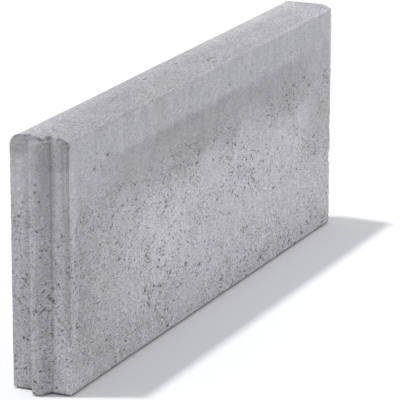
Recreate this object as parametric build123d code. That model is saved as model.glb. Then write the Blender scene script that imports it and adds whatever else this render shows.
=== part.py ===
from build123d import *
import os

# Concrete garden kerb, one cast block with a tongue on one end and a matching groove on the other.
# The origin is the middle of the bed face. X runs along the kerb, Y through it, Z up.
# The tongue is on the -X end, the groove on the +X end, the bevelled show face at -Y.

# Body
body_length = 500.0  # end face to end face, tongue left out
body_height = 200.0
body_thickness = 50.0

# Tongue on the -X end, centred in the thickness
tongue_root_width = 16.0
tongue_nose_width = 7.5
tongue_projection = 10.0
tongue_nose_round = 2.5
tongue_crease_round = 1.5
tongue_top_drop = 3.5  # the tongue ends this far below the top

# Groove on the +X end, closed at the top so that the top edge runs on unbroken
groove_cover = 2.5

# Gap left beside and in front of the tongue of the next kerb when it stands in the groove
joint_clearance = 1.0

# Top of the kerb
crown_rise = 0.7  # how far the rear of the top lies below its high line
bevel_width = 9.5  # show side, measured across the top
bevel_drop = 4.0  # show side, measured down the face
bevel_ridge_round = 8.0  # soft turn between the top and the bevel
bevel_arris_round = 1.2  # worn edge between the bevel and the show face
back_round_radius = 12.0  # rear top edge

# Worn edges
end_arris_round = 1.5  # upright edges of both ends
bed_arris_round = 1.2  # long edges of the bed

half_length = body_length / 2
half_thickness = body_thickness / 2
tip = half_length + tongue_projection


def tongue_points():
    # Plan outline of the tongue, from the show side to the rear, root to nose to root.
    root = tongue_root_width / 2
    nose = tongue_nose_width / 2
    return [(-half_length, -root), (-tip, -nose), (-tip, nose), (-half_length, root)]


def groove_points():
    # The tongue's outline moved to the other end and widened by the clearance.
    root = tongue_root_width / 2 + joint_clearance
    nose = tongue_nose_width / 2 + joint_clearance
    floor = half_length - tongue_projection - joint_clearance
    return [(half_length, root), (floor, nose), (floor, -nose), (half_length, -root)]


def round_corners(outline, points, radii):
    # Turns each named corner of the outline with its own arc.
    for point, radius in zip(points, radii):
        corner = outline.vertices().sort_by_distance((point[0], point[1], 0))[0]
        fillet(corner, radius)


def rounded_outline(points, radii):
    with BuildSketch() as outline:
        with BuildLine():
            Polyline(*points, close=True)
        make_face()
        round_corners(outline, points, radii)
    return outline.sketch


def joint_outline():
    # The kerb seen from above: block, tongue and groove.
    crease = tongue_crease_round
    nose = tongue_nose_round
    floor = tongue_nose_round + joint_clearance
    arris = end_arris_round
    points = [(-half_length, -half_thickness)]
    points += tongue_points()
    points += [(-half_length, half_thickness), (half_length, half_thickness)]
    points += groove_points()
    points += [(half_length, -half_thickness)]
    radii = [arris, crease, nose, nose, crease, arris, arris]
    radii += [arris, floor, floor, arris, arris]
    return rounded_outline(points, radii)


def cover_outline():
    # The plain top layer that closes the groove.
    points = [
        (-half_length, -half_thickness),
        (half_length, -half_thickness),
        (half_length, half_thickness),
        (-half_length, half_thickness),
    ]
    return rounded_outline(points, [end_arris_round] * 4)


def cross_outline():
    # Section across the kerb, the first number across its thickness and the second up.
    bed_front = (-half_thickness, 0)
    bed_rear = (half_thickness, 0)
    top_rear = (half_thickness, body_height - crown_rise)
    bevel_head = (-half_thickness + bevel_width, body_height)
    bevel_foot = (-half_thickness, body_height - bevel_drop)
    with BuildSketch() as outline:
        with BuildLine():
            Polyline(bevel_head, bevel_foot, bed_front, bed_rear, top_rear)
            TangentArc(bevel_head, top_rear, tangent=(1, 0))
        make_face()
        round_corners(
            outline,
            [bed_front, bed_rear, top_rear, bevel_head, bevel_foot],
            [
                bed_arris_round,
                bed_arris_round,
                back_round_radius,
                bevel_ridge_round,
                bevel_arris_round,
            ],
        )
    return outline.sketch


def upright_block():
    # The plan carried up to the underside of the cover, then the cover itself.
    lower_height = body_height - groove_cover
    lower = extrude(joint_outline(), amount=lower_height)
    cover = extrude(Pos(0, 0, lower_height) * cover_outline(), amount=groove_cover)
    # What the tongue would reach above its own top is taken off again.
    tongue_top = body_height - tongue_top_drop
    above = Box(
        tongue_projection,
        body_thickness,
        tongue_top_drop,
        align=(Align.MAX, Align.CENTER, Align.MIN),
    )
    return lower + cover - Pos(-half_length, 0, tongue_top) * above


def long_block():
    # The cross section carried along the kerb, past the tongue at one end.
    reach = half_length + tongue_projection + joint_clearance
    across = Plane(origin=(-reach, 0, 0), x_dir=(0, 1, 0), z_dir=(1, 0, 0))
    return extrude(across * cross_outline(), amount=2 * reach)


def kerb_stone():
    block = upright_block() & long_block()
    solid = block.solids()[0]
    solid.label = "kerb_stone"
    return solid


os.makedirs("parts", exist_ok=True)
export_step(kerb_stone(), "parts/kerb_stone.step")
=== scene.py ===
import math
import random

import bmesh
import bpy
from mathutils import Matrix, Vector, kdtree, noise


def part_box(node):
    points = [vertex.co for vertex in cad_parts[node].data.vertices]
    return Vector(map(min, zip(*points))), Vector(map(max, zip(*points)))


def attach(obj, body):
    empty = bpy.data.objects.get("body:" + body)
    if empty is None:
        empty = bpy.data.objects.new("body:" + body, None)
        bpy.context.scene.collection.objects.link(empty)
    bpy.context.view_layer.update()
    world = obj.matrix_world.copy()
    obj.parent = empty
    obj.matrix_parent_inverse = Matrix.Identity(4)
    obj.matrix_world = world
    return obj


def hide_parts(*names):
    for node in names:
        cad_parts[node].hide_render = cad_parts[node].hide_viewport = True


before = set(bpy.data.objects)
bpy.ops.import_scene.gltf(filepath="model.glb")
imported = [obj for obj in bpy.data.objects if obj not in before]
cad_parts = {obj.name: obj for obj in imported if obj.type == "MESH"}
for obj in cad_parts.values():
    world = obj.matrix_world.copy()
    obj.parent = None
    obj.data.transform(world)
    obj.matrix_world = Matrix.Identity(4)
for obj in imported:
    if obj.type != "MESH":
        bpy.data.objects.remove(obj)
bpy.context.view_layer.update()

# The kerb stands on its bed at z = 0, tongue towards -X, show face towards -Y. Metres throughout.
nodeLow, nodeHigh = (Vector(corner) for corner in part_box("kerb_stone"))

kerb = {
    "tongueOut": 0.010,
    "rootHalf": 0.008,
    "noseHalf": 0.00375,
    "noseRound": 0.0025,
    "creaseRound": 0.0014,
    "tongueTop": 0.0035,  # how far the tongue ends below the top
    "grooveTop": 0.0025,  # and the groove
    "jointPlay": 0.001,
    "past": 0.003,  # how far a wedge reaches through the end face, and the groove's through the bed
    "backRound": 0.010,  # as the photo's upper outline shows; the solid has 12 mm
    "endRound": 0.0005,
    "skinCell": 0.00075,  # size of the cells that the block is remeshed with
    "skinTriangles": 192000,
    "waveSize": 0.045,  # slow unevenness of the cast faces
    "waveDepth": 0.0005,
    "seed": 41,
}
tongueEnd = nodeLow.x + kerb["tongueOut"]
grooveEnd = nodeHigh.x
showFace = nodeLow.y
rearFace = nodeHigh.y
bed = nodeLow.z
top = nodeHigh.z


def deselectAll():
    if bpy.context.object and bpy.context.object.mode != "OBJECT":
        bpy.ops.object.mode_set(mode="OBJECT")
    bpy.ops.object.select_all(action="DESELECT")


def takeUp(piece):
    deselectAll()
    piece.select_set(True)
    bpy.context.view_layer.objects.active = piece


def addBlock(name, low, high):
    deselectAll()
    middle = (Vector(low) + Vector(high)) / 2
    bpy.ops.mesh.primitive_cube_add(size=1, location=middle)
    piece = bpy.context.object
    piece.name = name
    piece.scale = Vector(high) - Vector(low)
    bpy.ops.object.transform_apply(location=True, rotation=True, scale=True)
    return piece


def roundEdges(piece, wanted, size, steps):
    # Bevels the edges whose both ends lie at the wanted place.
    takeUp(piece)
    bpy.ops.object.mode_set(mode="EDIT")
    bpy.ops.mesh.select_mode(type="EDGE")
    bpy.ops.mesh.select_all(action="DESELECT")
    mesh = bmesh.from_edit_mesh(piece.data)
    for edge in mesh.edges:
        edge.select_set(all(wanted(v.co) for v in edge.verts))
    bmesh.update_edit_mesh(piece.data)
    bpy.ops.mesh.bevel(offset=size, segments=steps, affect="EDGES")
    bpy.ops.object.mode_set(mode="OBJECT")


def isNear(value, place):
    return abs(value - place) < 1e-5


def limited(value, low=0):
    # Keeps a share between low and 1.
    return min(max(value, low), 1)


def useModifier(piece, kind, **settings):
    takeUp(piece)
    modifier = piece.modifiers.new(kind.lower(), kind)
    for name, value in settings.items():
        setattr(modifier, name, value)
    bpy.ops.object.modifier_apply(modifier=modifier.name)


def joinBy(piece, other, operation):
    useModifier(piece, "BOOLEAN", operation=operation, object=other, solver="EXACT")
    bpy.data.objects.remove(other)


def modelBody():
    body = addBlock("kerbBody", (tongueEnd, showFace, bed), (grooveEnd, rearFace, top))
    roundEdges(body, lambda v: isNear(v.y, rearFace) and isNear(v.z, top), kerb["backRound"], steps=8)
    for side in (showFace, rearFace):
        for end in (tongueEnd, grooveEnd):
            roundEdges(body, lambda v: isNear(v.x, end) and isNear(v.y, side), kerb["endRound"], steps=2)
    return body


def modelWedge(name, tip, root, tipHalf, rootHalf, low, high):
    # A wedge standing along the joint: narrow at its tip, wide at its root.
    wedge = addBlock(name, (min(tip, root), -rootHalf, low), (max(tip, root), rootHalf, high))
    for vertex in wedge.data.vertices:
        if isNear(vertex.co.x, tip):
            vertex.co.y = math.copysign(tipHalf, vertex.co.y)
    for side in (-1, 1):
        roundEdges(wedge, lambda v: isNear(v.x, tip) and v.y * side > 0, kerb["noseRound"], steps=4)
    return wedge


def modelJoint(body):
    slope = (kerb["rootHalf"] - kerb["noseHalf"]) / kerb["tongueOut"]
    play = kerb["jointPlay"]
    past = kerb["past"]
    tongue = modelWedge(
        "kerbTongue",
        nodeLow.x,
        tongueEnd + past,
        kerb["noseHalf"],
        kerb["rootHalf"] + slope * past,
        bed,
        top - kerb["tongueTop"],
    )
    joinBy(body, tongue, "UNION")
    for side in (-1, 1):
        roundEdges(
            body,
            lambda v: isNear(v.x, tongueEnd) and isNear(v.y, side * kerb["rootHalf"]),
            kerb["creaseRound"],
            steps=3,
        )
    groove = modelWedge(
        "kerbGroove",
        grooveEnd - kerb["tongueOut"] - play,
        grooveEnd + past,
        kerb["noseHalf"] + play,
        kerb["rootHalf"] + play + slope * past,
        bed - past,
        top - kerb["grooveTop"],
    )
    joinBy(body, groove, "DIFFERENCE")


head = {
    "width": 0.0095,  # bevel, across the top
    "dropNear": 0.0027,  # bevel, down the face at the tongue end
    "dropFar": 0.0035,  # and at the groove end
    "deepenOver": 0.30,  # length over which the bevel deepens
    "curve": 1.45,  # above 1 the bevel bulges
    "crown": 0.0007,
    "reach": 0.022,  # height over which the skin follows the top's shape
    "lip": 0.0008,  # burr along the top edge of both ends, behind the joint
    "lipWidth": 0.0016,
    "lipEnd": 1.6,  # by its width, where it has run out
    "lipStart": 0.007,  # behind the middle of the kerb's thickness
    "lipFade": 0.002,
}


def topDrop(place):
    # How far the top lies below the highest line: convex bevel in front, slight crown behind.
    across = place.y - showFace
    along = limited((place.x - tongueEnd) / head["deepenOver"])
    drop = head["dropNear"] + (head["dropFar"] - head["dropNear"]) * along
    if across < head["width"]:
        return drop * (1 - across / head["width"]) ** head["curve"]
    fall = head["crown"] * ((across - head["width"]) / (rearFace - showFace - head["width"])) ** 2
    inward = min(place.x - tongueEnd, grooveEnd - place.x)
    lip = limited(head["lipEnd"] - inward / head["lipWidth"])
    lip *= limited((place.y - head["lipStart"]) / head["lipFade"])
    return max(fall - head["lip"] * lip, 0)


def shapeTop(places):
    for place in places:
        share = (place.z - top + head["reach"]) / head["reach"]
        if share > 0:
            place.z -= topDrop(place) * share


def treeOf(places):
    tree = kdtree.KDTree(len(places))
    for number, place in enumerate(places):
        tree.insert(place, number)
    tree.balance()
    return tree


chip = {
    "swell": (0.75, 1.2),  # spread of the ball's size
    "shallow": (0.20, 0.42),  # spread of the depth, by the width
    "small": 2.5,  # power that makes most chips small
    "lumps": (0.28, 0.0021),  # share and size of the coarse raggedness
    "crumbs": (0.12, 0.0009),
    "rawDepth": 0.0008,  # a break this deep is marked in full
    "search": 1.35,  # by the ball's size, how far out points are moved
}


def bite(places, marks, tree, edge, inward, width, depth, rawness):
    # Knocks a part of a rough ball out of an edge or a face and marks what is laid bare.
    ball = width * random.uniform(*chip["swell"])
    centre = edge - inward * (ball - depth)
    lumps, lumpSize = chip["lumps"]
    crumbs, crumbSize = chip["crumbs"]
    for _, number, _ in tree.find_range(centre, ball * chip["search"]):
        here = places[number]
        reach = ball * (1 + lumps * noise.noise(here / lumpSize) + crumbs * noise.noise(here / crumbSize))
        offset = here - centre
        if offset.length < reach:
            step = offset.dot(inward)
            push = math.sqrt(max(reach * reach - offset.length_squared + step * step, 0)) - step
            places[number] = here + inward * push
            marks[number] = max(marks[number], min(1, push / chip["rawDepth"]) * rawness)


wear = {
    "rows": [
        # start, end, direction into the block, chips, smallest and largest width, rawness
        ((tongueEnd, showFace, bed), (tongueEnd, showFace, 0.196), (1, 1, 0), 46, 0.0007, 0.0019, 0.5),
        ((tongueEnd, rearFace, bed), (tongueEnd, rearFace, 0.187), (1, -1, 0), 46, 0.0007, 0.0018, 0.5),
        ((grooveEnd, showFace, bed), (grooveEnd, showFace, 0.196), (-1, 1, 0), 80, 0.0010, 0.0034, 0.5),
        ((grooveEnd, rearFace, bed), (grooveEnd, rearFace, 0.187), (-1, -1, 0), 60, 0.0010, 0.0034, 0.5),
        ((tongueEnd, showFace, 0.1965), (grooveEnd, showFace, 0.1957), (0, 1, -1.6),
         90, 0.0005, 0.0014, 0.15),
        ((tongueEnd, showFace, 0.197), (-0.13, showFace, 0.1962), (0, 1, -1.4), 60, 0.0008, 0.0024, 0.35),
        ((tongueEnd, showFace, bed), (grooveEnd, showFace, bed), (0, 1, 1), 80, 0.0006, 0.0016, 0.5),
        ((tongueEnd, rearFace, bed), (grooveEnd, rearFace, bed), (0, -1, 1), 90, 0.0006, 0.0030, 0.5),
        ((tongueEnd, -0.016, top), (tongueEnd, 0.008, 0.1996), (1, 0, -1), 34, 0.0008, 0.0022, 0.5),
        ((tongueEnd, showFace, 0.1972), (tongueEnd, -0.0155, top), (1, 0.2, -1), 18, 0.0008, 0.0020, 0.5),
        ((grooveEnd, -0.016, top), (grooveEnd, 0.016, 0.1994), (-1, 0, -1), 70, 0.0010, 0.0042, 0.5),
        ((grooveEnd, showFace, 0.1958), (grooveEnd, -0.0155, top), (-1, 0.2, -1), 18, 0.0010, 0.0026, 0.5),
        ((tongueEnd, showFace, bed), (tongueEnd, rearFace, bed), (1, 0, 1), 26, 0.0008, 0.0020, 0.5),
        ((grooveEnd, showFace, bed), (grooveEnd, rearFace, bed), (-1, 0, 1), 26, 0.0008, 0.0026, 0.5),
        ((nodeLow.x, -0.003, bed), (nodeLow.x, 0.003, bed), (1, 0, 1), 6, 0.0014, 0.0030, 0.5),
    ],
    "breaks": [
        # place, direction into the block, width, depth
        ((tongueEnd, 0.0090, top), (1, 0, -0.5), 0.0030, 0.0022),
        ((tongueEnd, -0.0085, top), (1, 0, -0.5), 0.0036, 0.0028),
        ((tongueEnd, -0.0060, top), (1, 0, -0.6), 0.0020, 0.0014),
        ((tongueEnd, 0.0190, 0.198), (1, -0.5, -0.8), 0.0034, 0.0018),
        ((tongueEnd, -0.0180, 0.199), (1, 0.2, -0.8), 0.0030, 0.0016),
        ((tongueEnd, showFace, 0.1935), (1, 1, -0.3), 0.0026, 0.0012),
        ((grooveEnd, showFace, 0.144), (-1, 0.7, 0), 0.0026, 0.0015),
        ((grooveEnd, showFace, 0.0885), (-1, 0.7, 0), 0.0030, 0.0018),
        ((grooveEnd, showFace, 0.0845), (-1, 0.7, 0), 0.0026, 0.0014),
        ((grooveEnd, showFace, 0.0640), (-1, 0.7, 0), 0.0036, 0.0022),
        ((grooveEnd, showFace, 0.0585), (-1, 0.7, 0), 0.0040, 0.0030),
    ],
    # The tongue's top was never pressed: it is full of holes.
    "topPits": 60,
    "topPitWidth": (0.0008, 0.0020),
    "topPitDepth": 0.4,  # by the width
    "topPitInward": (0.35, 0, -1),
    "topPitRawness": 0.45,
}


def wearEdges(places, marks):
    tree = treeOf(places)
    for start, end, inward, count, smallest, largest, rawness in wear["rows"]:
        start, end, inward = Vector(start), Vector(end), Vector(inward).normalized()
        for _ in range(count):
            width = smallest + (largest - smallest) * random.random() ** chip["small"]
            edge = start.lerp(end, random.random())
            depth = width * random.uniform(*chip["shallow"])
            bite(places, marks, tree, edge, inward, width, depth, rawness)
    for edge, inward, width, depth in wear["breaks"]:
        bite(places, marks, tree, Vector(edge), Vector(inward).normalized(), width, depth, 1)
    inward = Vector(wear["topPitInward"]).normalized()
    half = kerb["rootHalf"]
    for _ in range(wear["topPits"]):
        along = random.uniform(nodeLow.x, tongueEnd)
        edge = Vector((along, random.uniform(-half, half), top - kerb["tongueTop"]))
        width = random.uniform(*wear["topPitWidth"])
        bite(places, marks, tree, edge, inward, width, width * wear["topPitDepth"], wear["topPitRawness"])


pores = {
    "count": 3400,
    "smallest": 0.00046,
    "largest": 0.00100,
    "small": 2.6,  # power that makes most holes small
    "deep": 0.95,  # depth of a hole by its size
    "wide": 1.7,  # how much longer a hole is along the kerb than it is high
    "ragged": (0.35, 0.0012),  # share and size of the unevenness of a rim
    "round": 0.7,  # power of a hole's section: below 1 its walls are steeper
    "search": 1.3,  # by the hole's size, how far out points are moved
    "sameSide": 0.6,  # least cosine between two normals of one face
    "chain": (1, 1, 1, 2, 3),  # holes that run into each other
    "drift": 2.4,  # how much more a chain runs along the kerb than up it
    "turn": 0.5,
    "step": (0.9, 1.5),  # from hole to hole, by the size
    "shrink": (0.75, 1.05),
    "nests": 150,
    "nestShare": 0.34,
    "nestWidth": 0.0062,
    # The fine facing mix near the top is closed.
    "shutDepth": 0.006,
    "shutShare": 0.04,
    "endSkin": 0.0008,  # this near to an end a point lies on it
    "endStart": 0.146,
    "faceStart": 0.134,
    "fade": 0.016,
    "leastShade": 0.05,
    "cloudScale": (20, 30, 24),
    "cloudShift": 3.1,
    "cloudMiddle": 0.55,
    "cloudSwing": 0.9,
    "leastCloud": 0.10,
}


def poreShare(place):
    # How open the skin is at a place.
    if place.z > top - pores["shutDepth"]:
        return pores["shutShare"]
    onEnd = place.x < tongueEnd + pores["endSkin"] or place.x > grooveEnd - pores["endSkin"]
    start = pores["endStart"] if onEnd else pores["faceStart"]
    x, y, z = pores["cloudScale"]
    spot = Vector((place.x * x, place.y * y + pores["cloudShift"], place.z * z))
    cloud = pores["cloudMiddle"] + pores["cloudSwing"] * noise.noise(spot)
    shade = limited(1 - (place.z - start) / pores["fade"], pores["leastShade"])
    return shade * limited(cloud, pores["leastCloud"])


def pickNests(places):
    nests = []
    while len(nests) < pores["nests"]:
        pick = random.randrange(len(places))
        if random.random() < poreShare(places[pick]):
            nests.append(pick)
    return nests


def wander(spread):
    return Vector((random.gauss(0, spread), random.gauss(0, spread), random.gauss(0, spread)))


def pickPore(places, tree, nests):
    # A point in a nest, or anywhere in open skin.
    if random.random() < pores["nestShare"]:
        start = places[random.choice(nests)] + wander(pores["nestWidth"])
        return tree.find(start)[1]
    pick = random.randrange(len(places))
    return None if random.random() > poreShare(places[pick]) else pick


def digHole(centre, normal, size, tree, places, normals, depths):
    share, grain = pores["ragged"]
    for _, number, _ in tree.find_range(centre, size * pores["search"] * pores["wide"]):
        if normals[number].dot(normal) < pores["sameSide"]:
            continue
        offset = places[number] - centre
        offset.x /= pores["wide"]
        inside = 1 - (offset.length / size / (1 + share * noise.noise(places[number] / grain))) ** 2
        if inside > 0:
            depths[number] = max(depths[number], size * pores["deep"] * inside ** pores["round"])


def sinkPores(piece, places, depths):
    normals = [v.normal.copy() for v in piece.data.vertices]
    tree = treeOf(places)
    nests = pickNests(places)
    made = 0
    while made < pores["count"]:
        pick = pickPore(places, tree, nests)
        if pick is None:
            continue
        made += 1
        centre, normal = places[pick].copy(), normals[pick]
        size = pores["smallest"] + (pores["largest"] - pores["smallest"]) * random.random() ** pores["small"]
        heading = Vector((random.gauss(0, pores["drift"]), random.gauss(0, 1), random.gauss(0, 1)))
        for _ in range(random.choice(pores["chain"])):
            digHole(centre, normal, size, tree, places, normals, depths)
            heading += wander(pores["turn"])
            heading -= normal * heading.dot(normal)
            centre += heading.normalized() * size * random.uniform(*pores["step"])
            size *= random.uniform(*pores["shrink"])
    for number, depth in enumerate(depths):
        if depth > 0:
            places[number] -= normals[number] * depth


creaseGroove = {
    "out": 0.0090,  # from the middle of the tongue
    "half": 0.0007,
    "depth": 0.0007,
    "stop": 0.004,  # below the top
    "skin": (0.0008, 0.0005),  # a point this far out of or into the end lies on it
    # how strongly the groove is marked with painted shade
    "rawness": 0.8,
}


def cutCreaseGroove(places, marks):
    # A fine groove on the end face beside the tongue, at the foot of its crease, marked with painted shade.
    outward, inward = creaseGroove["skin"]
    for number, place in enumerate(places):
        onEnd = tongueEnd - outward < place.x < tongueEnd + inward
        if onEnd and place.z < top - creaseGroove["stop"]:
            off = abs(place.y + creaseGroove["out"]) / creaseGroove["half"]
            if off < 1:
                place.x += creaseGroove["depth"] * (1 - off * off)
                # The groove is marked with painted shade.
                marks[number] = max(marks[number], creaseGroove["rawness"] * (1 - off * off))


def setPlaces(piece, places):
    piece.data.vertices.foreach_set("co", [number for place in places for number in place])
    piece.data.update()


def addMark(piece, name, values):
    layer = piece.data.attributes.new(name, "FLOAT", "POINT")
    layer.data.foreach_set("value", values)


def modelKerb():
    random.seed(kerb["seed"])
    stone = modelBody()
    modelJoint(stone)
    useModifier(stone, "REMESH", mode="VOXEL", voxel_size=kerb["skinCell"], adaptivity=0)
    print("kerb: block, tongue and groove", len(stone.data.vertices))

    places = [v.co.copy() for v in stone.data.vertices]
    marks = [0.0] * len(places)
    depths = [0.0] * len(places)
    shapeTop(places)
    cutCreaseGroove(places, marks)
    wearEdges(places, marks)
    print("kerb: edges worn")
    setPlaces(stone, places)
    sinkPores(stone, places, depths)
    setPlaces(stone, places)
    addMark(stone, "poreDepth", [depth * 1000 for depth in depths])  # in millimetres
    # Broken skin, and painted shade in the crease groove.
    addMark(stone, "rawBreakAndCreaseShade", marks)
    print("kerb: pores sunk")

    waves = bpy.data.textures.new("castWaves", "CLOUDS")
    waves.noise_scale = kerb["waveSize"]
    waves.noise_depth = 1
    depth = kerb["waveDepth"]
    useModifier(stone, "DISPLACE", texture=waves, texture_coords="LOCAL", strength=depth, mid_level=1.0)
    share = kerb["skinTriangles"] / (2 * len(stone.data.polygons))
    useModifier(stone, "DECIMATE", ratio=min(1, share), use_collapse_triangulate=True)
    takeUp(stone)
    bpy.ops.object.shade_smooth()
    stone.name = "kerbStone"
    stone.data.name = "kerbStone"
    print("kerb: skin of", len(stone.data.polygons), "triangles")
    return stone


class NodeDesk:
    # Short calls for adding and joining the nodes of one material.
    def __init__(self, name):
        self.material = bpy.data.materials.new(name)
        self.material.use_nodes = True
        self.nodes = self.material.node_tree.nodes
        self.links = self.material.node_tree.links
        self.nodes.clear()

    def add(self, kind, **settings):
        node = self.nodes.new(kind)
        for name, value in settings.items():
            setattr(node, name, value)
        return node

    def feed(self, socket, value):
        if isinstance(value, bpy.types.NodeSocket):
            self.links.new(value, socket)
        else:
            socket.default_value = value

    def feedAll(self, node, **entries):
        # An underscore in a name stands for a space in the socket's name.
        for name, value in entries.items():
            self.feed(node.inputs[name.replace("_", " ")], value)

    def math(self, operation, first, second=0.0, third=0.0):
        node = self.add("ShaderNodeMath", operation=operation)
        for socket, value in zip(node.inputs, (first, second, third)):
            self.feed(socket, value)
        return node.outputs[0]

    def plus(self, first, second):
        return self.math("ADD", first, second)

    def minus(self, first, second):
        return self.math("SUBTRACT", first, second)

    def rest(self, share):
        return self.math("SUBTRACT", 1, share)

    def times(self, *values):
        result = values[0]
        for value in values[1:]:
            result = self.math("MULTIPLY", result, value)
        return result

    def around(self, value, size):
        # Turns a cloud from 0 to 1 into a swing of the given size around zero.
        return self.math("MULTIPLY_ADD", value, size, -size / 2)

    def tinge(self, share, change):
        # A factor of 1, changed where the share is full.
        return self.math("MULTIPLY_ADD", share, change, 1.0)

    def shift(self, value, goal, share):
        # Moves a number towards a goal by a share of the way.
        node = self.add("ShaderNodeMix", data_type="FLOAT")
        for number, entry in ((0, share), (2, value), (3, goal)):
            self.feed(node.inputs[number], entry)
        return node.outputs[0]

    def ramp(self, value, low, high, first=0.0, last=1.0):
        # Smooth step from first at low to last at high.
        node = self.add("ShaderNodeMapRange", interpolation_type="SMOOTHSTEP")
        self.feedAll(node, Value=value, From_Min=low, From_Max=high, To_Min=first, To_Max=last)
        return node.outputs["Result"]

    def spread(self, place, scale, shift):
        node = self.add("ShaderNodeMapping")
        self.feedAll(node, Vector=place, Scale=scale, Location=shift)
        return node.outputs["Vector"]

    def cloud(self, place, scale, detail, rough):
        node = self.add("ShaderNodeTexNoise")
        self.feedAll(node, Vector=place, Scale=scale, Detail=detail, Roughness=rough)
        return node.outputs["Fac"]

    def field(self, place, stretch, shift, *settings):
        # A cloud drawn in a stretched and shifted copy of the place.
        return self.cloud(self.spread(place, stretch, shift), *settings)

    def cells(self, place, scale):
        # The distance to the nearest cell's middle, and a number drawn for the cell.
        node = self.add("ShaderNodeTexVoronoi")
        self.feedAll(node, Vector=place, Scale=scale)
        lot = self.add("ShaderNodeSeparateColor")
        self.feed(lot.inputs[0], node.outputs["Color"])
        return node.outputs["Distance"], lot.outputs[0]

    def mark(self, name):
        return self.add("ShaderNodeAttribute", attribute_name=name).outputs["Fac"]

    def mix(self, share, first, second):
        node = self.add("ShaderNodeMix", data_type="RGBA")
        for number, value in ((0, share), (6, first), (7, second)):
            self.feed(node.inputs[number], value)
        return node.outputs[2]

    def tone(self, colour, value):
        node = self.add("ShaderNodeVectorMath", operation="SCALE")
        self.feed(node.inputs[0], colour)
        self.feed(node.inputs["Scale"], value)
        return node.outputs[0]

    def finish(self, shader):
        out = self.add("ShaderNodeOutputMaterial")
        self.links.new(shader.outputs[0], out.inputs["Surface"])
        return self.material


# In the stains and the painted light and shade below, a bare number is a tone as a share of the cement's
# colour, or a change of it, or the size of an uneven edge. A pair is a soft edge, from where the mark is
# absent to where it is full. In a run of four the soft edge comes first, and then the two values that it
# leads between.
sideStainsAndPaintedLight = {
    "strip": 0.99,
    "wobble": 0.006,
    "layer": 0.83,
    "layerHead": (0.1725, 0.1645),
    "layerStart": (tongueEnd + 0.020, tongueEnd + 0.110),
    "layerStop": (grooveEnd - 0.085, grooveEnd - 0.030, 1.0, 0.45),
    "layerBlots": (0.34, 0.56, 0.72, 1.0),
    "heart": 0.79,
    "heartStart": (-0.170, -0.050),
    "heartStop": (0.080, 0.020),
    "heartFoot": (0.156, 0.163),
    "belly": 1.19,
    "bellyRagged": 0.050,
    "bellyFall": (0.060, 0.130, 0.0, 0.005),  # it starts lower towards the groove end
    "bellyHead": (0.150, 0.106),
    "bellyStart": (-0.235, -0.115),
    "far": 0.94,
    "farStart": (grooveEnd - 0.085, grooveEnd - 0.020),
    "farFoot": (0.035, 0.100),
    "low": 1.02,
    "lowShare": 0.40,
    "lowStart": (-0.180, -0.160),
    "lowStop": (-0.020, -0.075),
    "lowHead": (0.070, 0.045),
    "lowBlots": (0.36, 0.52),
    "pale": 0.06,
    "paleStart": (-0.125, -0.095),
    "paleStop": (-0.040, -0.060),
    "paleHead": (0.148, 0.138),
    "paleFoot": (0.030, 0.050),
    "near": 0.865,
    "nearStart": (tongueEnd + 0.009, tongueEnd + 0.016),
    "nearStop": (tongueEnd + 0.052, tongueEnd + 0.024),
    "nearHead": (0.158, 0.136),
    "nearFoot": (0.018, 0.045),
    # painted light from the floor, lighter towards the foot
    "footFloorLight": 1.15,
    "footFloorLightShare": 0.85,
    "footFloorLightHead": (0.021, 0.011),
    # painted highlights along the upright arrises at both ends
    "nearArrisHighlight": 0.12,
    "nearArrisStop": (tongueEnd + 0.018, tongueEnd + 0.004),
    "nearArrisHead": (0.185, 0.168),
    "nearArrisFoot": (0.100, 0.150),
    "farArrisHighlight": 0.25,
    "farArrisStart": (grooveEnd - 0.0070, grooveEnd - 0.0025),
    "farArrisFoot": (0.085, 0.160),
    "contactShade": (0.0013, 0.0005, 1.0, 0.50),  # painted contact shade where the face meets the bed
}


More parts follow.
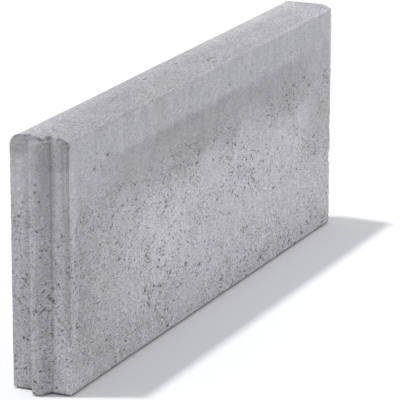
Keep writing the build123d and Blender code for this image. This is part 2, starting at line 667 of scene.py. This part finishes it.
def sideTone(desk, along, height, streaks, blots, patches):
    # Long faces from the top down: plain strip, dark layer, light belly, painted light from the floor at the
    # foot.
    stainAndLight, ramp, times, shift = sideStainsAndPaintedLight, desk.ramp, desk.times, desk.shift
    layerHead = ramp(desk.plus(height, desk.around(patches, stainAndLight["wobble"])), *stainAndLight["layerHead"])
    layer = times(layerHead, ramp(along, *stainAndLight["layerStart"]), ramp(along, *stainAndLight["layerStop"]))
    layer = times(layer, ramp(blots, *stainAndLight["layerBlots"]))
    tone = shift(stainAndLight["strip"], stainAndLight["layer"], layer)
    heart = times(ramp(along, *stainAndLight["heartStart"]), ramp(along, *stainAndLight["heartStop"]))
    heart = times(heart, ramp(height, *stainAndLight["heartFoot"]), layerHead)
    tone = shift(tone, stainAndLight["heart"], heart)

    ragged = desk.around(streaks, stainAndLight["bellyRagged"])
    ragged = desk.plus(ragged, desk.around(blots, stainAndLight["bellyRagged"]))
    ragged = desk.plus(ragged, ramp(along, *stainAndLight["bellyFall"]))
    raggedHeight = desk.plus(height, ragged)
    belly = times(ramp(raggedHeight, *stainAndLight["bellyHead"]), ramp(along, *stainAndLight["bellyStart"]))
    tone = shift(tone, stainAndLight["belly"], belly)
    far = times(ramp(along, *stainAndLight["farStart"]), ramp(height, *stainAndLight["farFoot"]))
    tone = shift(tone, stainAndLight["far"], times(far, layerHead))
    low = times(ramp(along, *stainAndLight["lowStart"]), ramp(along, *stainAndLight["lowStop"]))
    low = times(low, ramp(height, *stainAndLight["lowHead"]), ramp(blots, *stainAndLight["lowBlots"]))
    tone = shift(tone, stainAndLight["low"], times(low, stainAndLight["lowShare"]))
    pale = times(ramp(along, *stainAndLight["paleStart"]), ramp(along, *stainAndLight["paleStop"]))
    pale = times(pale, ramp(height, *stainAndLight["paleHead"]), ramp(height, *stainAndLight["paleFoot"]))
    tone = times(tone, desk.tinge(pale, stainAndLight["pale"]))

    # The dark stripe beside the tongue end, and painted light from the floor at the foot.
    near = times(ramp(along, *stainAndLight["nearStart"]), ramp(along, *stainAndLight["nearStop"]))
    near = times(near, ramp(raggedHeight, *stainAndLight["nearHead"]), ramp(height, *stainAndLight["nearFoot"]))
    tone = shift(tone, stainAndLight["near"], near)
    tone = shift(tone, stainAndLight["footFloorLight"], times(ramp(height, *stainAndLight["footFloorLightHead"]), stainAndLight["footFloorLightShare"]))

    # Painted highlights along the upright arrises at both ends.
    nearArrisHighlight = times(ramp(along, *stainAndLight["nearArrisStop"]), ramp(height, *stainAndLight["nearArrisHead"]))
    nearArrisHighlight = times(nearArrisHighlight, ramp(height, *stainAndLight["nearArrisFoot"]))
    farArrisHighlight = times(ramp(along, *stainAndLight["farArrisStart"]), ramp(height, *stainAndLight["farArrisFoot"]))
    arrisHighlights = desk.plus(times(nearArrisHighlight, stainAndLight["nearArrisHighlight"]), times(farArrisHighlight, stainAndLight["farArrisHighlight"]))
    tone = times(tone, desk.plus(arrisHighlights, 1.0))
    # Painted contact shade where the face meets the bed.
    return times(tone, ramp(height, *stainAndLight["contactShade"]))


# Edges across an end are measured from the show face, apart from those of the facing and the lap,
# which are measured from the middle.
endStainsAndPaintedLight = {
    "edge": (0.0, 0.0095, 0.80, 1.11),
    "lineFoot": (0.138, 0.150),  # both upright lines start here
    "paleLine": 0.99,
    "paleLineStart": (0.0022, 0.0028),
    "paleLineStop": (0.0044, 0.0038),
    "darkLine": 0.88,
    "darkLineStart": (0.0042, 0.0048),
    "darkLineStop": (0.0066, 0.0058),
    # painted shade near the tongue's crease on the show side
    "root": 0.98,
    "rootStart": (0.0120, 0.0140),
    "rearStart": (0.030, 0.034),
    # the rear flat's tone, with painted shade where it starts next to the tongue
    "rearLow": (0.0350, 0.0405, 0.87, 0.97),
    "rearHigh": (0.0350, 0.0405, 0.90, 1.06),
    "rearHighFoot": (0.125, 0.150),
    # painted light from the floor at the foot, near the show side
    "footFloorLight": 1.17,
    "footFloorLightStop": (0.018, 0.015),
    "footFloorLightHead": (0.050, 0.030),
    "blots": (0.3, 0.7, 0.94, 1.06),
    "facing": -0.17,
    "facingFoot": (-0.006, 0.002, 0.1735, 0.1790),  # lower on the show side
    "facingStreaks": 0.030,
    "facingPatches": 0.012,
    "facingEdge": -0.001,
    "facingSoft": (0.006, 0.002),  # softness of that edge: what the rear adds, and the least
    "lap": 1.02,
    "lapHalf": (0.0085, 0.0065),
    "lapRagged": (0.3, 0.7, 0.6, 1.0),
    "lapDown": (-0.0022, top - 0.0006),  # how far the lap reaches down, and from where
    "lapEdge": (-0.0003, 0.0004),
    # painted contact shade where the end meets the bed
    "contactShade": (0.0012, 0.0004, 1.0, 0.80),
}


def endTone(desk, across, height, blots, patches, streaks):
    # Ends: dark facing mix at the top with a stepped edge, then plain, then open skin; painted shade beside
    # the tongue, painted light from the floor at the foot and painted contact shade at the bed.
    stainAndLight, ramp, times, shift = endStainsAndPaintedLight, desk.ramp, desk.times, desk.shift
    inward = desk.minus(across, showFace)
    tone = ramp(inward, *stainAndLight["edge"])
    high = ramp(height, *stainAndLight["lineFoot"])
    for line in ("paleLine", "darkLine"):
        start, stop = ramp(inward, *stainAndLight[line + "Start"]), ramp(inward, *stainAndLight[line + "Stop"])
        tone = shift(tone, stainAndLight[line], times(high, start, stop))
    # Painted shade near the crease on the show side, and next to the tongue on the rear side.
    tone = shift(tone, stainAndLight["root"], ramp(inward, *stainAndLight["rootStart"]))
    rear = ramp(inward, *stainAndLight["rearStart"])
    tone = shift(tone, ramp(inward, *stainAndLight["rearLow"]), rear)
    tone = shift(tone, ramp(inward, *stainAndLight["rearHigh"]), times(rear, ramp(height, *stainAndLight["rearHighFoot"])))
    # Painted light from the floor at the foot, near the show side.
    footFloorLight = times(ramp(inward, *stainAndLight["footFloorLightStop"]), ramp(height, *stainAndLight["footFloorLightHead"]))
    tone = shift(tone, stainAndLight["footFloorLight"], footFloorLight)
    tone = times(tone, ramp(blots, *stainAndLight["blots"]))

    # The facing mix comes down further at the show side, in blocks.
    step = ramp(across, *stainAndLight["facingFoot"])
    step = desk.plus(step, times(rear, desk.around(streaks, stainAndLight["facingStreaks"])))
    step = desk.plus(step, desk.around(patches, stainAndLight["facingPatches"]))
    soft = desk.math("MULTIPLY_ADD", rear, *stainAndLight["facingSoft"])
    facing = ramp(desk.minus(height, step), stainAndLight["facingEdge"], soft)
    tone = times(tone, desk.tinge(facing, stainAndLight["facing"]))

    # The pale skin of the top laps over the edge above the tongue.
    lap = times(ramp(desk.math("ABSOLUTE", across), *stainAndLight["lapHalf"]), ramp(patches, *stainAndLight["lapRagged"]))
    low = desk.math("MULTIPLY_ADD", lap, *stainAndLight["lapDown"])
    tone = shift(tone, stainAndLight["lap"], ramp(desk.minus(height, low), *stainAndLight["lapEdge"]))
    # Painted contact shade where the end meets the bed.
    return times(tone, ramp(height, *stainAndLight["contactShade"]))


topStainsAndPaintedLight = {
    "along": (-0.05, 0.20, 0.892, 1.03),
    "nearEnd": (tongueEnd + 0.055, tongueEnd + 0.020, 1.0, 1.05),
    # painted light on the rounded rear edge
    "rear": (rearFace - 0.026, rearFace - 0.013, 1.0, 1.17),
    # painted highlight along the bevel's foot at the show face
    "bevelHighlight": 0.12,
    "bevelHighlightStop": (showFace + 0.0030, showFace + 0.0012),
    "bevelHighlightStart": (-0.15, -0.09, 0.4, 1.0),
    "blots": (0.3, 0.7, 0.96, 1.04),
}


def topTone(desk, along, across, blots):
    # The top, tamped smooth: paler towards both ends, with painted light round the rear edge and a painted
    # highlight at the bevel's foot.
    stainAndLight, ramp, times = topStainsAndPaintedLight, desk.ramp, desk.times
    tone = ramp(along, *stainAndLight["along"])
    tone = times(tone, ramp(along, *stainAndLight["nearEnd"]))
    # Painted light on the rounded rear edge.
    tone = times(tone, ramp(across, *stainAndLight["rear"]))
    # Painted highlight along the bevel's foot.
    bevelHighlight = times(ramp(across, *stainAndLight["bevelHighlightStop"]), ramp(along, *stainAndLight["bevelHighlightStart"]))
    tone = times(tone, desk.tinge(bevelHighlight, stainAndLight["bevelHighlight"]))
    return times(tone, ramp(blots, *stainAndLight["blots"]))


tongueStains = {
    "head": (0.165, 0.180, 0.98, 0.90),
    "blots": (0.3, 0.7, 0.96, 1.04),
    "flank": (-0.0030, -0.0046, 0.965, 0.97),
}


def tongueTone(desk, across, height, blots):
    tone = desk.times(desk.ramp(height, *tongueStains["head"]), desk.ramp(blots, *tongueStains["blots"]))
    return desk.times(tone, desk.ramp(across, *tongueStains["flank"]))


zoneEdges = {
    "end": (grooveEnd - 0.0012, grooveEnd - 0.0005),
    "tongue": (tongueEnd - 0.0004, tongueEnd - 0.0012),
    "top": (top - 0.0052, top - 0.0038),
    "rear": (rearFace - 0.012, rearFace - 0.010),
    "rearTop": (top - 0.0125, top - 0.011),  # the rounded rear edge belongs to the top
}


def findZones(desk, along, across, height):
    # How far a point belongs to the ends, to the tongue and to the top.
    ramp = desk.ramp
    onEnd = ramp(desk.math("ABSOLUTE", along), *zoneEdges["end"])
    onTongue = ramp(along, *zoneEdges["tongue"])
    onTop = ramp(height, *zoneEdges["top"])
    backTop = desk.times(ramp(across, *zoneEdges["rear"]), ramp(height, *zoneEdges["rearTop"]))
    onTop = desk.times(desk.math("MAXIMUM", onTop, backTop), desk.rest(onEnd))
    return onEnd, onTongue, onTop


skin = {
    # How open the skin is: shut in the facing mix, open below it.
    "ragged": 0.020,
    "openBelow": (0.163, 0.138),
    "blots": (0.32, 0.58, 0.38, 1.0),
    "nearHand": -0.10,
    "nearStart": (tongueEnd, tongueEnd + 0.004),
    "nearStop": (-0.165, -0.205),
    "crown": 0.85,  # the top edge of the ends is open again
    "crownFoot": (top - 0.0085, top - 0.0060),
    "top": 0.25,
    "least": 0.16,
}


def opennessOf(desk, along, height, blots, patches, zones):
    onEnd, onTongue, onTop = zones
    ramp, times = desk.ramp, desk.times
    under = ramp(desk.plus(height, desk.around(patches, skin["ragged"])), *skin["openBelow"])
    under = times(under, ramp(blots, *skin["blots"]))
    nearHand = times(ramp(along, *skin["nearStart"]), ramp(along, *skin["nearStop"]))
    under = times(under, desk.tinge(nearHand, skin["nearHand"]))
    crown = times(desk.math("MAXIMUM", onEnd, onTongue), ramp(height, *skin["crownFoot"]))
    pitted = desk.math("MAXIMUM", under, times(crown, skin["crown"]))
    pitted = desk.math("MAXIMUM", pitted, times(onTop, skin["top"]))
    return desk.math("MAXIMUM", pitted, skin["least"])


# From here on a cloud is given by its stretch, shift, scale, detail and roughness.
holes = {
    "lain": (0.52, 0.80, 1),  # a little longer than high, as the layers were tamped
    "bendScale": 520,
    "bend": (0.0022, 0.0022, 0.0018),
    "cells": ((330, 0.33, 0.66), (640, 0.38, 0.50)),  # scale, width of a hole, share left whole
    "core": 0.5,  # share of a hole's width that is dark all over
    "tiny": (0.02, 0.10),  # holes smaller than this fade away
    "nests": ((0.8, 1, 1), (2, 5, 8), 110, 1, 0.5),
    "nestBlots": (0.30, 0.62, 0.45, 1.0),
    "ragged": ((1, 8, 3), 620, 2, 0.60),  # stretched as the holes lie
    "limit": (0.15, 1.0, 0.76, 0.605),
    "raggedRim": (-0.005, 0.030),
    # painted shade in the holes
    "holeShade": 0.60,
}


def pitsOf(desk, place, pitted):
    # Round holes in cells, ragged ones where a fine cloud runs high.
    bent = desk.add("ShaderNodeVectorMath", operation="MULTIPLY_ADD")
    warp = desk.add("ShaderNodeTexNoise")
    desk.feedAll(warp, Vector=place, Scale=holes["bendScale"])
    for number, value in enumerate((warp.outputs["Color"], holes["bend"], place)):
        desk.feed(bent.inputs[number], value)
    lain = desk.spread(bent.outputs[0], holes["lain"], (0, 0, 0))
    found = []
    for scale, width, share in holes["cells"]:
        distance, lot = desk.cells(lain, scale)
        size = desk.times(desk.ramp(lot, share, 1.0, 0.0, width), pitted)
        hole = desk.rest(desk.ramp(distance, desk.times(size, holes["core"]), size))
        found.append(desk.times(hole, desk.ramp(size, *holes["tiny"])))
    nests = desk.field(place, *holes["nests"])
    ragged = desk.field(place, holes["lain"], *holes["ragged"])
    limit = desk.times(pitted, desk.ramp(nests, *holes["nestBlots"]))
    limit = desk.ramp(limit, *holes["limit"])
    found.append(desk.ramp(desk.minus(ragged, limit), *holes["raggedRim"]))
    pits = desk.math("MAXIMUM", found[0], found[1])
    return desk.math("MAXIMUM", pits, found[2])


grains = {
    "sandCloud": ((0.50, 0.80, 1), (0, 0, 0), 950, 2, 0.75),
    "dustCloud": ((0.55, 0.6, 1), (5, 2, 1), 420, 2, 0.6),
    "topCloud": ((0.50, 0.40, 1), (0, 0, 0), 1500, 1, 0.6),
    "swing": (0.32, 0.68, -1, 1),
    "topSwing": (0.30, 0.70, -1, 1),
    "sand": 0.24,
    "dust": 0.08,
    "topSand": 0.27,
    "open": (0.15, 0.8, 0.72, 1.0),
    "low": (0.100, 0.030, 1.0, 1.25),
}


def grainOf(desk, place, height, pitted, onTop):
    # Light and dark grains of sand: on the sides drawn out along the kerb, on the top finer and
    # drawn out across it.
    sand = desk.field(place, *grains["sandCloud"])
    dust = desk.field(place, *grains["dustCloud"])
    topSand = desk.field(place, *grains["topCloud"])
    grit = desk.times(desk.ramp(pitted, *grains["open"]), desk.ramp(height, *grains["low"]))
    side = desk.times(desk.ramp(sand, *grains["swing"]), grains["sand"])
    side = desk.plus(side, desk.times(desk.ramp(dust, *grains["swing"]), grains["dust"]))
    above = desk.times(desk.ramp(topSand, *grains["topSwing"]), grains["topSand"])
    grain = desk.shift(desk.times(grit, side), above, onTop)
    return grain, desk.plus(sand, dust)


concrete = {
    "cement": (0.452, 0.448, 0.474, 1),
    "cool": (0.449, 0.452, 0.480, 1),  # the facing mix near the top
    "warm": (0.440, 0.412, 0.372, 1),
    "rust": (0.52, 0.40, 0.26, 1),
    "streakCloud": ((240, 240, 34), (0, 0, 0), 1, 3, 0.6),
    "blotCloud": (24, 3, 0.55),  # neither stretched nor shifted
    "patchCloud": ((1, 1, 1), (3, 1, 7), 75, 3, 0.6),
    "runCloud": ((150, 150, 6), (0, 0, 0), 1, 2, 0.6),
    "warmCloud": ((1, 1, 1), (9, 4, 2), 16, 2, 0.5),
    "rustCloud": ((1, 1, 1), (4, 6, 1), 60, 1, 0.5),
    "patches": (0.3, 0.7, 0.955, 1.045),
    "streaks": (0.3, 0.7, 0.965, 1.035),
    "runs": (0.32, 0.68, -0.035, 0.035),  # longer streaks down the top strip
    "stripFoot": (0.160, 0.172),
    "poreShade": (0.05, 0.5, 1.0, 0.50),  # painted shade in the sunk pores, by a pore's depth in millimetres
    # darker broken skin, and painted shade in the crease groove
    "rawAndCreaseShade": (0.15, 1.0, 1.0, 0.66),
    "warmSpots": (0.60, 0.85, 0.0, 0.30),
    "rustSpots": (0.66, 0.72),
    "rough": 0.93,
    "gloss": 0.25,
    "sandRelief": 0.25,
    "bumpStrength": 0.6,
    "bumpDepth": 0.0005,
}


def concreteMaterial():
    desk = NodeDesk("castConcrete")
    times, ramp = desk.times, desk.ramp
    place = desk.add("ShaderNodeTexCoord").outputs["Object"]
    parts = desk.add("ShaderNodeSeparateXYZ")
    desk.feed(parts.inputs[0], place)
    along, across, height = parts.outputs
    zones = findZones(desk, along, across, height)
    onEnd, onTongue, onTop = zones

    streaks = desk.field(place, *concrete["streakCloud"])
    blots = desk.cloud(place, *concrete["blotCloud"])
    patches = desk.field(place, *concrete["patchCloud"])
    tone = sideTone(desk, along, height, streaks, blots, patches)
    tone = desk.shift(tone, topTone(desk, along, across, blots), onTop)
    tone = desk.shift(tone, endTone(desk, across, height, blots, patches, streaks), onEnd)
    tone = desk.shift(tone, tongueTone(desk, across, height, blots), onTongue)
    tone = times(tone, ramp(patches, *concrete["patches"]))
    tone = times(tone, ramp(streaks, *concrete["streaks"]))
    strip = times(ramp(height, *concrete["stripFoot"]), desk.rest(onEnd), desk.rest(onTop))
    runs = desk.field(place, *concrete["runCloud"])
    runs = times(ramp(runs, *concrete["runs"]), strip)
    tone = times(tone, desk.plus(runs, 1.0))

    pitted = opennessOf(desk, along, height, blots, patches, zones)
    grain, sandRelief = grainOf(desk, place, height, pitted, onTop)
    pits = pitsOf(desk, place, pitted)
    tone = times(tone, desk.plus(grain, 1.0))
    # Painted shade in the shader's holes.
    tone = times(tone, desk.tinge(pits, -holes["holeShade"]))
    # Painted shade in the sunk pores, darker where they are deeper.
    tone = times(tone, ramp(desk.mark("poreDepth"), *concrete["poreShade"]))
    # Darker broken skin, and painted shade in the groove along the tongue's crease.
    tone = times(tone, ramp(desk.mark("rawBreakAndCreaseShade"), *concrete["rawAndCreaseShade"]))

    warmCloud = desk.field(place, *concrete["warmCloud"])
    rustCloud = desk.field(place, *concrete["rustCloud"])
    colour = desk.mix(strip, concrete["cement"], concrete["cool"])
    colour = desk.mix(ramp(warmCloud, *concrete["warmSpots"]), colour, concrete["warm"])
    rust = times(ramp(rustCloud, *concrete["rustSpots"]), pits)
    colour = desk.tone(desk.mix(rust, colour, concrete["rust"]), tone)

    bump = desk.add("ShaderNodeBump")
    relief = desk.minus(times(sandRelief, concrete["sandRelief"]), pits)
    desk.feedAll(bump, Strength=concrete["bumpStrength"], Distance=concrete["bumpDepth"], Height=relief)
    shader = desk.add("ShaderNodeBsdfPrincipled")
    desk.feedAll(shader, Base_Color=colour, Roughness=concrete["rough"], Normal=bump.outputs["Normal"])
    desk.feedAll(shader, Specular_IOR_Level=concrete["gloss"])
    return desk.finish(shader)


studio = {
    "floorReach": 14.0,
    "floorWhite": (0.90, 0.90, 0.905, 1),
    "floorSeen": (0.966, 0.976, 0.998, 1),  # only to the camera: white paper, and the kerb keeps its light
    "floorDrop": 0.0014,  # the rough bed stands on its high points, with a dark gap below
    "world": 0.550,
    "sunFrom": (-0.023, 0.052, 0.197),
    "sunWidth": 3.5,  # degrees
    "sunPower": 1.50,
    "aim": (0, 0, 0.1),
    "rearBox": {"place": (-1.3, 2.0, 0.9), "size": 1.4, "power": 6.8},
    "frontBox": {"place": (2.2, -2.0, 0.82), "size": 1.8, "power": 23.5},
}


def paperMaterial():
    desk = NodeDesk("studioPaper")
    paper = desk.add("ShaderNodeBsdfDiffuse")
    seen = desk.add("ShaderNodeLightPath").outputs["Is Camera Ray"]
    desk.feed(paper.inputs["Color"], desk.mix(seen, studio["floorWhite"], studio["floorSeen"]))
    return desk.finish(paper)


def addLight(name, kind):
    light = bpy.data.objects.new(name, bpy.data.lights.new(name, kind))
    bpy.context.scene.collection.objects.link(light)
    return light


def addSoftbox(name, place, size, power):
    box = addLight(name, "AREA")
    box.data.shape = "SQUARE"
    box.data.size = size
    box.data.energy = power
    box.location = place
    box.rotation_euler = (Vector(place) - Vector(studio["aim"])).to_track_quat("Z", "Y").to_euler()


def setStudio():
    deselectAll()
    bpy.ops.mesh.primitive_plane_add(size=studio["floorReach"], location=(0, 0, bed - studio["floorDrop"]))
    floor = bpy.context.object
    floor.name = "studioFloor"
    floor.data.materials.append(paperMaterial())

    world = bpy.data.worlds.new("studioSky")
    bpy.context.scene.world = world
    world.use_nodes = True
    sky = world.node_tree.nodes["Background"]
    sky.inputs["Color"].default_value = (1, 1, 1, 1)
    sky.inputs["Strength"].default_value = studio["world"]

    sun = addLight("studioSun", "SUN")
    sun.rotation_euler = Vector(studio["sunFrom"]).to_track_quat("Z", "Y").to_euler()
    sun.data.energy = studio["sunPower"]
    sun.data.angle = math.radians(studio["sunWidth"])
    for name in ("rearBox", "frontBox"):
        addSoftbox(name, **studio[name])


camera = {
    "place": (-2.0608, -0.9840, 0.7625),
    "heading": 25.207,  # degrees from +X towards +Y
    "tilt": 16.555,  # degrees below level
    "roll": 0.09,
    "lens": 260.5,
    "sensor": 36,
    "clipEnd": 60,
}


def setCamera():
    data = bpy.data.cameras.new("kerbCamera")
    data.lens = camera["lens"]
    data.sensor_width = camera["sensor"]
    data.clip_end = camera["clipEnd"]
    eye = bpy.data.objects.new("kerbCamera", data)
    bpy.context.scene.collection.objects.link(eye)
    turn = Matrix.Rotation(math.radians(camera["heading"] - 90), 4, "Z")
    turn = turn @ Matrix.Rotation(math.radians(90 - camera["tilt"]), 4, "X")
    turn = turn @ Matrix.Rotation(math.radians(camera["roll"]), 4, "Z")
    eye.matrix_world = Matrix.Translation(camera["place"]) @ turn
    bpy.context.scene.camera = eye


kerbPiece = modelKerb()
kerbPiece.data.materials.clear()
kerbPiece.data.materials.append(concreteMaterial())
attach(kerbPiece, "root")
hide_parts("kerb_stone")
print("kerb: dressed")

setStudio()
setCamera()
bpy.context.scene.view_settings.view_transform = "Standard"
print("studio and camera set")
